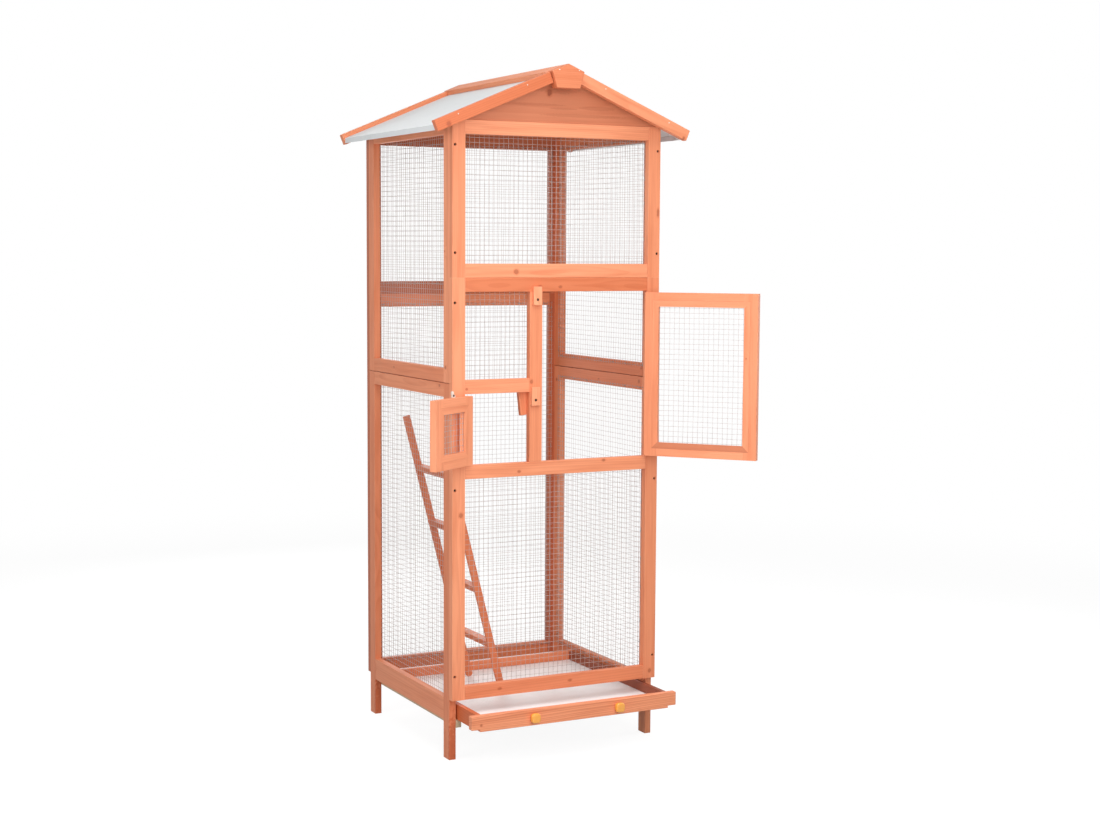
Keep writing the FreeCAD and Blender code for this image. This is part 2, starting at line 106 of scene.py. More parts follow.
# The floor: what it gives back to the object, what of its own light and shadow is seen, its half
# width, and where it starts and ends to fade into the surround
floor_albedo = 0.45
floor_seen_albedo = 0.16
floor_glow = 0.91
floor_reach = 30.0
floor_fade = (1.6, 4.0)

# Staples that hold the nets
staple_crown = 9.0 * mm
staple_width = 1.1 * mm
staple_height = 0.6 * mm
staple_leg = 2.2 * mm
staple_spacing = 74 * mm
staple_inset = 5.0 * mm
staple_tilt = 0.35
staple_shift = 12 * mm
staple_corner_share = 0.4

# Screws: rows from the shank to the bottom of the recess, as shares of the head's radius
screw_columns = 24
screw_tip_share = 0.3
screw_depth_shares = np.array([0.9, 0.25, 0.05, 0.0, 0.0, 0.4])
screw_radius_shares = np.array([0.57, 1.0, 0.95, 0.8, 0.55, 0.38])
screw_notch_shares = np.array([0.0, 0.0, 0.0, 0.0, 0.62, 0.62])

# Screws of the hinges and nails of the roof boards
leaf_plate = 0.9 * mm
leaf_screw_radius = 1.9 * mm
leaf_screw_length = 9.0 * mm
leaf_screw_rise = 0.3 * mm
leaf_screw_spread_share = 0.28
leaf_screw_out = 2.6 * mm
nail_radius = 1.5 * mm
nail_rise = 0.45 * mm
nail_length = 6.0 * mm
nail_columns = 12
nail_radius_shares = np.array([0.5, 1.0, 0.9, 0.45])
nail_shoulder_share = 0.4
barge_nails = [(-280.0, 1523.0), (-104.0, 1596.0), (104.0, 1596.0), (280.0, 1523.0)]
ridge_plate_nails = [(-24.2, 1634.5), (27.4, 1634.5)]

# Knobs: rows from the board to the face, as shares of the length and of the radius, and how square
knob_columns = 40
knob_length_shares = np.array([0.0, 0.17, 0.19, 0.22, 0.28, 0.36, 0.70, 0.84, 0.92, 0.97, 1.0, 1.0])
knob_radius_shares = np.array([0.58, 0.58, 0.72, 0.86, 0.95, 0.98, 0.96, 0.94, 0.90, 0.84, 0.76, 0.40])
knob_powers = np.array([2.0, 2.0, 2.3, 2.8, 3.2, 3.4, 3.4, 3.4, 3.3, 3.2, 3.0, 2.6])


def srgb(red, green, blue):
    """A linear colour from the 0 to 255 values that a screen shows."""
    screen = np.array([red, green, blue]) / 255
    linear = np.where(screen <= 0.04045, screen / 12.92, ((screen + 0.055) / 1.055) ** 2.4)
    return (*(float(part) for part in linear), 1.0)


# Shader building blocks

def add(tree, kind, inputs=(), **settings):
    """A shader node: its settings first, then each input linked to a socket or set to a value."""
    made = tree.nodes.new("ShaderNode" + kind)
    for name, value in settings.items():
        setattr(made, name, value)
    for name, value in dict(inputs).items():
        if isinstance(value, bpy.types.NodeSocket):
            tree.links.new(value, made.inputs[name])
        else:
            made.inputs[name].default_value = value
    return made


def calc(tree, operation, *values):
    """One step of arithmetic on numbers."""
    return add(tree, "Math", dict(enumerate(values)), operation=operation).outputs[0]


def times(tree, first, second):
    """The product of two numbers."""
    return calc(tree, "MULTIPLY", first, second)


def calc_vector(tree, operation, *values):
    """One step of arithmetic on vectors."""
    return add(tree, "VectorMath", dict(enumerate(values)), operation=operation).outputs[0]


def length_of(tree, vector):
    """The length of a vector."""
    return add(tree, "VectorMath", {0: vector}, operation="LENGTH").outputs["Value"]


def ramp(tree, value, start, end, low=0.0, high=1.0):
    """A smooth step of the value from low at start to high at end."""
    levels = {0: value, 1: start, 2: end, 3: low, 4: high}
    return add(tree, "MapRange", levels, interpolation_type="SMOOTHSTEP").outputs[0]


def blend(tree, factor, first, second, way="MIX"):
    """Two colours mixed by a factor."""
    parts = {0: factor, 6: first, 7: second}
    return add(tree, "Mix", parts, data_type="RGBA", blend_type=way).outputs[2]


def noise(tree, vector, scale, detail=2.0, roughness=0.5):
    """Smooth noise between 0 and 1."""
    parts = {"Vector": vector, "Scale": scale, "Detail": detail, "Roughness": roughness}
    return add(tree, "TexNoise", parts).outputs[0]


def attribute(tree, name):
    """A named attribute of the mesh."""
    return add(tree, "Attribute", attribute_name=name)


def object_place(tree):
    """The point's place in the frame of the part."""
    return add(tree, "TexCoord").outputs["Object"]


def group(name, inputs, outputs, inside):
    """A shader node group with named sockets, whose inside gives a socket for each output."""
    tree = bpy.data.node_groups.new(name, "ShaderNodeTree")
    for side, sockets in (("INPUT", inputs), ("OUTPUT", outputs)):
        for label, kind in sockets.items():
            tree.interface.new_socket(name=label, in_out=side, socket_type="NodeSocket" + kind)
    given = tree.nodes.new("NodeGroupInput").outputs
    leaving = tree.nodes.new("NodeGroupOutput").inputs
    for label, socket in inside(tree, given).items():
        tree.links.new(socket, leaving[label])
    return tree


# The grain, in millimetres: least radius of a knot and what chance adds, how far off and how much
# a knot bends the rings, and how far off the pith is
seed_shifts = (731.0, 517.0, 293.0)
knot_cell = (210.0, 34.0)
knot_radius = (1.7, 3.2)
knot_push = (20.0, 8.0)
pith_reach = (24.0, 60.0)
board_lean = 0.05
ring_bend = 22.0
ring_unevenness = 2.2


def grain_inside(tree, given):
    """Growth rings round a pith outside the batten, bent by slow noise and round knots, and fine fibres."""
    seed = given["Seed"]
    place = calc_vector(tree, "SCALE", given["Place"])
    place.node.inputs["Scale"].default_value = 1 / mm
    shifts = [times(tree, seed, factor) for factor in seed_shifts]
    shift = add(tree, "CombineXYZ", dict(enumerate(shifts))).outputs[0]
    along, across, deep = add(tree, "SeparateXYZ", {0: place}).outputs

    # Knots: branches through the thickness, one for some of the cells along the batten
    cell = [calc(tree, "DIVIDE", part, size) for part, size in zip((along, across), knot_cell)]
    cell_place = add(tree, "CombineXYZ", dict(enumerate(cell))).outputs[0]
    shifted = calc_vector(tree, "ADD", cell_place, shift)
    spots = add(tree, "TexVoronoi", {"Vector": shifted, "Scale": 1.0})
    offset = calc_vector(tree, "SUBTRACT", shifted, spots.outputs["Position"])
    real_offset = calc_vector(tree, "MULTIPLY", offset, (*knot_cell, 0.0))
    chance = add(tree, "SeparateColor", {0: spots.outputs["Color"]}).outputs
    absent = calc(tree, "LESS_THAN", chance[1], given["Clear Share"])
    distance = calc(tree, "MULTIPLY_ADD", absent, 1000.0, length_of(tree, real_offset))
    radius = calc(tree, "MULTIPLY_ADD", chance[0], knot_radius[1], knot_radius[0])
    near = calc(tree, "DIVIDE", distance, radius)
    knot = ramp(tree, near, 1.15, 0.7)
    rim = ramp(tree, near, 2.1, 1.0)

    # Growth rings
    slow = noise(tree, calc_vector(tree, "MULTIPLY_ADD", place, (0.0032, 0.015, 0.015), shift), 1.0, 1.0)
    bend = calc(tree, "MULTIPLY_ADD", slow, ring_bend, -ring_bend / 2)
    turn = times(tree, seed, 41.0)
    reach = calc(tree, "FRACT", times(tree, seed, 17.3))
    reach = calc(tree, "MULTIPLY_ADD", reach, pith_reach[1], pith_reach[0])
    lean = calc(tree, "FRACT", times(tree, seed, 5.7))
    lean = calc(tree, "MULTIPLY_ADD", lean, board_lean, -board_lean / 2)
    pith_across = times(tree, calc(tree, "COSINE", turn), reach)
    pith_deep = times(tree, calc(tree, "SINE", turn), reach)
    run_across = calc(tree, "MULTIPLY_ADD", along, lean, calc(tree, "SUBTRACT", across, pith_across))
    run_across = calc(tree, "ADD", run_across, bend)
    run_deep = calc(tree, "ADD", calc(tree, "SUBTRACT", deep, pith_deep), bend)
    out = length_of(tree, add(tree, "CombineXYZ", {0: run_across, 1: run_deep}).outputs[0])
    out = calc(tree, "ADD", out, ramp(tree, distance, knot_push[0], 0.0, 0.0, knot_push[1]))
    uneven = noise(tree, add(tree, "CombineXYZ", {0: out, 1: shifts[0]}).outputs[0], 0.11, 1.0)
    even_count = calc(tree, "DIVIDE", out, given["Ring Width"])
    count = calc(tree, "MULTIPLY_ADD", uneven, ring_unevenness, even_count)
    phase = calc(tree, "FRACT", count)
    late = times(tree, ramp(tree, phase, 0.25, 0.88), ramp(tree, phase, 1.0, 0.92))

    fibre_place = calc_vector(tree, "MULTIPLY_ADD", place, (0.022, 1.5, 1.5), shift)
    fibre = noise(tree, fibre_place, 1.0, 3.0, 0.6)
    streak_place = calc_vector(tree, "MULTIPLY_ADD", place, (0.005, 0.07, 0.07), shift)
    streak = noise(tree, streak_place, 1.0, 2.0)
    return {"Late Wood": late, "Fibre": fibre, "Streak": streak, "Knot": knot, "Rim": rim}


def wear_inside(tree, given):
    """The second smallest distance to the sides of the piece's box is the distance to its nearest edge."""
    sides = calc_vector(tree, "SUBTRACT", given["Half"], calc_vector(tree, "ABSOLUTE", given["Place"]))
    first, second, third = add(tree, "SeparateXYZ", {0: sides}).outputs
    lesser = calc(tree, "MINIMUM", first, second)
    greater = calc(tree, "MAXIMUM", first, second)
    edge = calc(tree, "MAXIMUM", lesser, calc(tree, "MINIMUM", greater, third))
    rubbed = noise(tree, calc_vector(tree, "ADD", given["Place"], given["Seed"]), 38.0, 3.0, 0.6)
    reach = times(tree, given["Reach"], ramp(tree, rubbed, 0.35, 0.75, 0.15, 1.0))
    return {"Wear": calc(tree, "SUBTRACT", 1.0, ramp(tree, edge, 0.0, reach))}


def mark_inside(tree, given):
    """An oval spot: full inside its half sizes, with a soft rim round it."""
    wobble = noise(tree, given["Point"], 160.0, 2.0)
    offset = calc_vector(tree, "SUBTRACT", given["Point"], given["Centre"])
    near = length_of(tree, calc_vector(tree, "DIVIDE", offset, given["Half Size"]))
    near = calc(tree, "ADD", near, calc(tree, "MULTIPLY_ADD", wobble, 0.7, -0.35))
    return {"Spot": ramp(tree, near, 1.1, 0.8), "Rim": ramp(tree, near, 1.9, 1.0)}


def soil_inside(tree, given):
    """Cloudy, speckled soil: broad noise that fine noise breaks up."""
    broad = noise(tree, given["Point"], given["Scale"], 4.0, 0.6)
    fine = noise(tree, given["Point"], times(tree, given["Scale"], 23.0), 3.0, 0.6)
    cloud = times(tree, ramp(tree, broad, 0.4, 0.75), ramp(tree, fine, 0.3, 0.8))
    return {"Cloud": cloud, "Speckle": ramp(tree, fine, 0.62, 0.74)}


wood_grain = group(
    "wood_grain",
    {"Place": "Vector", "Seed": "Float", "Ring Width": "Float", "Clear Share": "Float"},
    {"Late Wood": "Float", "Fibre": "Float", "Streak": "Float", "Knot": "Float", "Rim": "Float"},
    grain_inside,
)
edge_wear = group(
    "edge_wear",
    {"Place": "Vector", "Half": "Vector", "Seed": "Float", "Reach": "Float"},
    {"Wear": "Float"},
    wear_inside,
)
knot_mark = group(
    "knot_mark",
    {"Point": "Vector", "Centre": "Vector", "Half Size": "Vector"},
    {"Spot": "Float", "Rim": "Float"},
    mark_inside,
)
soil = group(
    "soil",
    {"Point": "Vector", "Scale": "Float"},
    {"Cloud": "Float", "Speckle": "Float"},
    soil_inside,
)


# Materials
late_tint = srgb(226, 196, 176)
knot_brown = srgb(150, 74, 46)
bare_chip = srgb(244, 230, 218)
hole_dark = srgb(58, 26, 14)
streak_brown = srgb(170, 92, 60)
# Painted shade: a deeper red on the lowest part of the left legs
painted_shade_red = srgb(200, 92, 50)
# Painted shade: dark brown over the tray's right side board
painted_shade_brown = srgb(130, 62, 38)
rim_strength = 0.5
knot_strength = 0.55
wear_reach = 2.2 * mm
wear_strength = 0.18
streak_strength = 0.35
fibre_depth = 0.18
wood_roughness = (0.44, 0.22)
grain_relief = 0.25 * mm


def material(name):
    """A new material, its node tree and its shader."""
    made = bpy.data.materials.new(name)
    made.use_nodes = True
    return made, made.node_tree, made.node_tree.nodes["Principled BSDF"]


def feed(tree, shader, **inputs):
    """Links or sets the shader's inputs, named in words with underscores."""
    for name, value in inputs.items():
        socket = shader.inputs[name.replace("_", " ")]
        if isinstance(value, bpy.types.NodeSocket):
            tree.links.new(value, socket)
        else:
            socket.default_value = value


def bump(tree, height, distance, strength):
    """A normal raised by a height between 0 and 1."""
    return add(tree, "Bump", {"Height": height, "Distance": distance, "Strength": strength}).outputs[0]


def paint_spots(tree, colour, spots):
    """Marks at known places, painted over a colour in their order; some of them are painted shade."""
    point = object_place(tree)
    for kind, centre, size in spots:
        inputs = {
            "Point": point,
            "Centre": [part * mm for part in centre],
            "Half Size": [part * mm for part in size],
        }
        spot = add(tree, "Group", inputs, node_tree=knot_mark).outputs
        if kind in ("knot", "dark knot"):
            rim = times(tree, spot["Rim"], rim_strength)
            colour = blend(tree, rim, colour, late_tint, "MULTIPLY")
        tint, strength = spot_tints[kind]
        colour = blend(tree, times(tree, spot["Spot"], strength), colour, tint)
    return colour


def wood(name, pale, deep, worn, ring_width, contrast, clear_share, spots=()):
    """Fir under a stain: boards from pale to deep, the deeper ones partly painted shade, growth rings,
    fibres, knots and rubbed edges.
    """
    made, tree, shader = material(name)
    place = attribute(tree, "place").outputs["Vector"]
    half = attribute(tree, "half").outputs["Vector"]
    seed = attribute(tree, "seed").outputs["Fac"]
    tone = attribute(tree, "tone").outputs["Fac"]
    grained = {"Place": place, "Seed": seed, "Ring Width": ring_width, "Clear Share": clear_share}
    grain = add(tree, "Group", grained, node_tree=wood_grain).outputs
    edged = {"Place": place, "Half": half, "Seed": seed, "Reach": wear_reach}
    wear = add(tree, "Group", edged, node_tree=edge_wear).outputs["Wear"]
    colour = blend(tree, tone, pale, deep)
    colour = blend(tree, ramp(tree, grain["Streak"], 0.4, 0.75, 0.0, streak_strength), colour, deep)
    colour = blend(tree, times(tree, grain["Late Wood"], contrast), colour, late_tint, "MULTIPLY")
    fibre = calc(tree, "MULTIPLY_ADD", grain["Fibre"], fibre_depth, 1 - fibre_depth / 2)
    fibre_shade = add(tree, "CombineColor", {0: fibre, 1: fibre, 2: fibre}).outputs[0]
    colour = blend(tree, 1.0, colour, fibre_shade, "MULTIPLY")
    rim = times(tree, grain["Rim"], rim_strength)
    colour = blend(tree, rim, colour, late_tint, "MULTIPLY")
    colour = blend(tree, times(tree, grain["Knot"], knot_strength), colour, knot_brown)
    colour = blend(tree, times(tree, wear, wear_strength), colour, worn)
    colour = paint_spots(tree, colour, spots)
    height = calc(tree, "MULTIPLY_ADD", grain["Late Wood"], 0.6, times(tree, grain["Fibre"], 0.8))
    feed(
        tree,
        shader,
        Base_Color=colour,
        Roughness=calc(tree, "MULTIPLY_ADD", grain["Fibre"], wood_roughness[1], wood_roughness[0]),
        Normal=bump(tree, height, grain_relief, 0.4),
        Specular_IOR_Level=0.45,
    )
    return made


def metal(name, pale, dull, roughness, scale, metallic, welds):
    """Coated or bare metal: a cloudy mix of a pale and a dull tone, duller at the welds of a net."""
    made, tree, shader = material(name)
    soiled = add(tree, "Group", {"Point": object_place(tree), "Scale": scale}, node_tree=soil).outputs
    colour = blend(tree, soiled["Cloud"], pale, dull)
    if welds:
        half_on = calc(tree, "ADD", attribute(tree, "along").outputs["Fac"], 0.5)
        off = calc(tree, "ABSOLUTE", calc(tree, "SUBTRACT", calc(tree, "FRACT", half_on), 0.5))
        colour = blend(tree, ramp(tree, off, 0.16, 0.05, 0.0, 0.3), colour, dull)
    feed(
        tree,
        shader,
        Base_Color=colour,
        Roughness=calc(tree, "MULTIPLY_ADD", soiled["Cloud"], 0.2, roughness),
        Metallic=metallic,
    )
    return made


def painted_sheet(name, paint, soiled_paint, scale):
    """A flat painted sheet: faint clouds, specks and an orange-peel skin."""
    made, tree, shader = material(name)
    point = object_place(tree)
    soiled = add(tree, "Group", {"Point": point, "Scale": scale}, node_tree=soil).outputs
    colour = blend(tree, times(tree, soiled["Cloud"], 0.55), paint, soiled_paint)
    colour = blend(tree, times(tree, soiled["Speckle"], 0.25), colour, soiled_paint)
    feed(
        tree,
        shader,
        Base_Color=colour,
        Roughness=calc(tree, "MULTIPLY_ADD", soiled["Cloud"], 0.15, 0.42),
        Normal=bump(tree, noise(tree, point, 900.0), 0.05 * mm, 0.25),
    )
    return made


def glossy_plastic(name, body, deep):
    """A moulded plastic pull with a little depth of colour and fine scuffs."""
    made, tree, shader = material(name)
    point = object_place(tree)
    soiled = add(tree, "Group", {"Point": point, "Scale": 60.0}, node_tree=soil).outputs
    feed(
        tree,
        shader,
        Base_Color=blend(tree, soiled["Cloud"], body, deep),
        Roughness=calc(tree, "MULTIPLY_ADD", soiled["Speckle"], 0.25, 0.22),
        Coat_Weight=0.3,
    )
    return made


# Marks at the places that the photograph shows: how strong each kind is in which tone
spot_tints = {
    "knot": (knot_brown, 0.5),
    "dark knot": (knot_brown, 0.85),
    "streak": (streak_brown, 0.3),
    # Painted shade, a deeper red low on the legs
    "painted leg shade": (painted_shade_red, 0.75),
    # Painted shade, dark brown, on the tray's right side board
    "shade": (painted_shade_brown, 0.9),
    "chip": (bare_chip, 0.95),
    "hole": (hole_dark, 0.95),
}

# The marks of each node in millimetres, and the front faces that most of them are on
front_face = -270.5
gable_face = -267.5
barge_face = -307.0
tray_face = -377.5
mark_depth = 20.0
chip_depth = 9.0


def mark(kind, x, z, half_width, half_height, face=front_face):
    """A mark on a board at the front: its kind, centre and half sizes."""
    return kind, (x, face, z), (half_width, mark_depth, half_height)


wood_spots = {
    "front_gable_board": [
        mark("dark knot", -26.5, 1585.0, 6.0, 8.0, gable_face),
        # The broad mark at the top centre is painted shade
        mark("streak", 0.0, 1592.0, 60.0, 9.0, gable_face),
        mark("streak", -60.0, 1556.0, 75.0, 3.0, gable_face),
        mark("streak", 12.0, 1548.0, 38.0, 2.2, gable_face),
        mark("streak", 105.0, 1552.0, 50.0, 5.0, gable_face),
        mark("streak", 60.0, 1533.0, 120.0, 4.0, gable_face),
    ],
    "front_barge_boards": [
        mark("knot", -303.6, 1499.3, 5.0, 6.0, barge_face),
        mark("knot", 322.0, 1488.0, 3.5, 3.5, barge_face),
    ],
    "tray_front_board": [mark("knot", -252.0, 111.8, 3.0, 3.0, tray_face)],
    "front_lower_rails": [
        mark("knot", -152.8, 164.8, 5.0, 3.0),
        mark("knot", 37.6, 165.0, 5.0, 3.0),
        mark("knot", -103.7, 687.6, 4.0, 3.0),
        mark("knot", 126.8, 703.9, 5.0, 3.0),
        mark("knot", 4.5, 1126.8, 4.0, 3.0),
        mark("knot", -50.3, 1128.1, 5.0, 3.0),
    ],
    "front_upper_rails": [mark("knot", -113.2, 1163.1, 6.0, 6.0)],
    "front_upper_stiles": [mark("knot", 273.0, 1306.5, 3.0, 10.0)],
    "front_lower_stiles": [
        mark("knot", -256.1, 590.9, 5.0, 6.0),
        mark("knot", 263.4, 166.0, 4.0, 5.0),
        ("chip", (-278.0, front_face, 879.5), (3.6, chip_depth, 6.4)),
        ("chip", (-275.4, front_face, 873.0), (5.0, chip_depth, 4.4)),
        ("hole", (-274.8, front_face, 874.4), (2.5, chip_depth, 2.8)),
    ],
    "front_middle_rail": [mark("knot", -241.5, 888.6, 3.0, 3.0)],
    # Painted shade on the lowest part of the left legs
    "left_legs": [
        ("painted leg shade", (-270.0, -272.0, 0.0), (40.0, 26.0, 150.0)),
        ("painted leg shade", (-270.0, 202.0, 0.0), (40.0, 26.0, 150.0)),
    ],
    # Painted shade over the tray's right side board
    "tray_side_boards": [("shade", (252.0, -180.0, 115.0), (40.0, 400.0, 60.0))],
    "front_mullion": [mark("knot", -71.5, 901.5, 4.0, 5.0)],
    "large_door_stiles": [
        ("knot", (252.9, -279.2, 833.1), (2.5, 2.5, 2.5)),
        ("knot", (262.1, -289.9, 1085.5), (1.8, 1.8, 1.8)),
    ],
    "large_door_rails": [("knot", (358.4, -402.7, 715.5), (3.0, 3.0, 2.0))],
}

# How deep the tone of a node's boards is, from 0 to 1, stain and painted shade together, and how far it runs
# with the board's seed
# The deeper tones of the boards at the rear and on the right, the ladder, the tray's sides and rear, the
# left legs and the lower front rails are painted shade
usual_stain = (0.3, 0.4)
board_stains_and_shade = {
    "front_gable_board": (0.4, 0.0),
    "front_barge_boards": (0.56, 0.8),
    "ridge_plates": (0.5, 0.2),
    "front_upper_rails": (0.14, 0.1),
    "front_upper_stiles": (0.43, 0.35),
    "front_lower_rails": (0.44, -0.65),
    "front_lower_stiles": (0.25, 0.3),
    "large_door_stiles": (0.36, 0.1),
    "large_door_rails": (0.36, -0.4),
    "large_door_cover_strips": (0.36, 0.05),
    "large_door_lower_strip": (0.55, 0.0),
    "small_door_stiles": (0.2, 0.1),
    "small_door_rails": (0.2, 0.1),
    "small_door_cover_strips": (0.2, 0.05),
    "small_door_lower_strip": (0.2, 0.05),
    "small_door_stop": (0.5, 0.0),
    "upper_turn_button": (0.0, 0.0),
    "lower_turn_button": (0.0, 0.0),
    "tray_front_board": (0.12, 0.0),
    "tray_side_boards": (0.9, 0.2),
    "tray_rear_board": (0.6, 0.3),
    "ladder_rails": (0.85, 0.3),
    "ladder_rungs": (0.85, 0.3),
    "left_legs": (0.5, 0.15),
    "right_legs": (0.3, 0.3),
    "right_lower_rails": (0.65, 0.3),
    "right_upper_rails": (0.65, 0.3),
    "right_upper_stiles": (0.8, 0.3),
    "rear_upper_stiles": (1.0, 0.1),
    "rear_upper_rails": (1.0, 0.1),
    "rear_lower_stiles": (1.0, 0.1),
    "rear_lower_rails": (0.6, 0.3),
    "rear_gable_board": (0.6, 0.3),
}

# Growth rings: their width in millimetres and their contrast
usual_rings = (4.4, 0.27)
calm_rings = (5.0, 0.14)
gable_rings = (8.5, 0.22)
door_frames = ("large_door_stiles", "large_door_rails", "small_door_stiles", "small_door_rails")
board_rings = {
    "tray_front_board": (4.6, 0.7),
    "front_gable_board": gable_rings,
    "rear_gable_board": gable_rings,
    **dict.fromkeys(door_frames, calm_rings),
}
usual_clear_share = 0.86

# The stain where it is pale, deep and rubbed: as new, in a duller and darker tone, with painted shade
# in its deep end for the posts at the rear, and on strips whose edges are not rubbed
pale_stain = srgb(251, 166, 124)
deep_stain = srgb(205, 104, 58)
worn_stain = srgb(252, 204, 168)
dull_pale = srgb(222, 139, 101)
stain_tones = {
    "plain": (pale_stain, deep_stain, worn_stain),
    "dull": (dull_pale, srgb(190, 108, 73), dull_pale),
    "shaded": (pale_stain, srgb(185, 100, 64), worn_stain),
    "trim": (pale_stain, deep_stain, pale_stain),
}
node_stains_and_shade = {
    "front_gable_board": "dull",
    "rear_gable_board": "dull",
    "rear_lower_stiles": "shaded",
    "rear_upper_stiles": "shaded",
    "rear_upper_rails": "shaded",
}
bare_fir = srgb(224, 202, 170)
bare_late = srgb(196, 164, 124)
bare_worn = srgb(232, 216, 190)


def stained(name, stain, rings, clear_share, spots=()):
    """Fir under one of the stain's tones; the shaded one holds painted shade in its deep end."""
    return wood(name, *stain_tones[stain], *rings, clear_share, spots)


plain_stain = stained("stained_wood", "plain", usual_rings, usual_clear_share)
trim_stain = stained("trim_stained_wood", "trim", calm_rings, usual_clear_share)
dull_stain = stained("dull_stained_wood", "dull", calm_rings, usual_clear_share)

# Metals: a pale and a dull tone, roughness, how fine the clouds are, and how metallic it looks
metal_rows = {
    "galvanised_wire": (srgb(198, 185, 181), srgb(166, 156, 153), 0.42, 70.0, 0.25),
    "hinge_steel": (srgb(196, 192, 184), srgb(140, 134, 126), 0.3, 60.0, 1.0),
    "screw_steel": (srgb(62, 46, 36), srgb(34, 24, 18), 0.5, 120.0, 0.6),
    "staple_wire": (srgb(172, 162, 154), srgb(124, 112, 104), 0.4, 120.0, 0.9),
    "nail_steel": (srgb(226, 220, 212), srgb(160, 150, 140), 0.3, 200.0, 0.9),
}
finishes = {name: metal(name, *row, welds=name == "galvanised_wire") for name, row in metal_rows.items()}
finishes["raw_wood"] = wood("raw_wood", bare_fir, bare_late, bare_worn, *usual_rings, usual_clear_share)
finishes["roof_sheet"] = painted_sheet("roof_sheet", srgb(228, 231, 232), srgb(212, 216, 217), 6.0)
finishes["tray_panel"] = painted_sheet("tray_panel", srgb(248, 244, 243), srgb(228, 222, 220), 9.0)
finishes["amber_knob"] = glossy_plastic("amber_knob", srgb(252, 173, 70), srgb(244, 160, 56))


def finish_of(node):
    """The material of a node's piece: its own where it has marks or a grain of its own."""
    slot = slot_of_node[node]
    if slot != "stained_wood":
        return finishes[slot]
    if not any(node in rows for rows in (wood_spots, board_rings, node_stains_and_shade)):
        return plain_stain
    spots = wood_spots.get(node, ())
    clear_share = 1.0 if spots else usual_clear_share
    rings = board_rings.get(node, usual_rings)
    return stained("stained_" + node, node_stains_and_shade.get(node, "plain"), rings, clear_share, spots)


# Meshes
seed_mix = (12.9898, 78.233, 37.719)
seed_scale = 43758.5453


def hold(piece, body, slot, finish, *nodes):
    """Puts a finished piece on its body, with its material, in place of the nodes it stands for; the slot is
    not used.
    """
    scene.collection.objects.link(piece)
    piece.data.materials.clear()
    piece.data.materials.append(finish)
    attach(piece, body)
    if nodes:
        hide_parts(*nodes)
    return piece


def numbers(items, name, width):
    """A property of all items as an array with that many columns."""
    values = np.zeros(len(items) * width)
    items.foreach_get(name, values)
    return values.reshape(-1, width)


def set_attribute(mesh, name, kind, values):
    """Stores an array as a named attribute of the points."""
    field = "vector" if kind == "FLOAT_VECTOR" else "value"
    mesh.attributes.new(name, kind, "POINT").data.foreach_set(field, np.ravel(values).astype(np.float32))


def merged_mesh(node, halves=False):
    """The node's loose triangles with shared corners merged and flat faces made whole.

    Corners are the same where their places, rounded to the merge distance, are the same. Solids
    that meet at the middle of the cage are kept apart by the side that their triangles lie on.
    """
    source = frame["nodes"][node].data
    corners = numbers(source.vertices, "co", 3)
    source.calc_loop_triangles()
    triangles = numbers(source.loop_triangles, "vertices", 3).astype(int)
    side = np.sign(corners[triangles].mean(axis=1)[:, 0]) if halves else np.zeros(len(triangles))
    keys = np.column_stack([np.round(corners[triangles.ravel()] / merge_distance), np.repeat(side, 3)])
    kept, which = np.unique(keys, axis=0, return_inverse=True)
    mesh = bpy.data.meshes.new(node)
    mesh.from_pydata((kept[:, :3] * merge_distance).tolist(), [], which.reshape(-1, 3).tolist())
    mesh.validate()
    shape = bmesh.new()
    shape.from_mesh(mesh)
    bmesh.ops.dissolve_limit(shape, angle_limit=flat_angle, verts=shape.verts, edges=shape.edges)
    shape.to_mesh(mesh)
    shape.free()
    return mesh


def eased_mesh(node, width, halves=False):
    """The merged mesh with its sharp edges rounded, as the tool that cut the real piece leaves them."""
    rough = bpy.data.objects.new(node + "_rough", merged_mesh(node, halves))
    scene.collection.objects.link(rough)
    ease = rough.modifiers.new("ease", "BEVEL")
    ease.width = width
    ease.segments = ease_segments
    ease.limit_method = "ANGLE"
    ease.angle_limit = ease_angle
    ease.harden_normals = True
    rough.data.shade_smooth()
    graph = bpy.context.evaluated_depsgraph_get()
    mesh = bpy.data.meshes.new_from_object(rough.evaluated_get(graph))
    bpy.data.objects.remove(rough)
    return mesh


def solids_of(mesh):
    """A number for the solid that each corner belongs to: the least corner number that edges lead to."""
    ends = numbers(mesh.edges, "vertices", 2).astype(int)
    label = np.arange(len(mesh.vertices))
    while True:
        least = label.copy()
        np.minimum.at(least, ends[:, 0], label[ends[:, 1]])
        np.minimum.at(least, ends[:, 1], label[ends[:, 0]])
        least = least[least]
        if (least == label).all():
            return np.unique(label, return_inverse=True)[1]
        label = least


def facing_axes(mesh, solid):
    """Three square axes for each solid, the one that the least area faces first: along the grain.

    They are the eigenvectors of the sum, over the solid's faces, of area times normal times normal.
    """
    first = numbers(mesh.polygons, "loop_start", 1).astype(int)[:, 0]
    owner = solid[numbers(mesh.loops, "vertex_index", 1).astype(int)[first, 0]]
    normals = numbers(mesh.polygons, "normal", 3)
    areas = numbers(mesh.polygons, "area", 1)
    sums = np.zeros((solid.max() + 1, 3, 3))
    np.add.at(sums, owner, areas[:, :, None] * normals[:, :, None] * normals[:, None, :])
    axes = np.linalg.eigh(sums)[1]
    largest = np.take_along_axis(axes, np.abs(axes).argmax(axis=1)[:, None, :], axis=1)
    return axes * np.sign(largest)


def boxes_of(solid, points):
    """The low and high corners of the box round each solid's points."""
    low = np.full((solid.max() + 1, 3), np.inf)
    high = -low
    np.minimum.at(low, solid, points)
    np.maximum.at(high, solid, points)
    return low, high


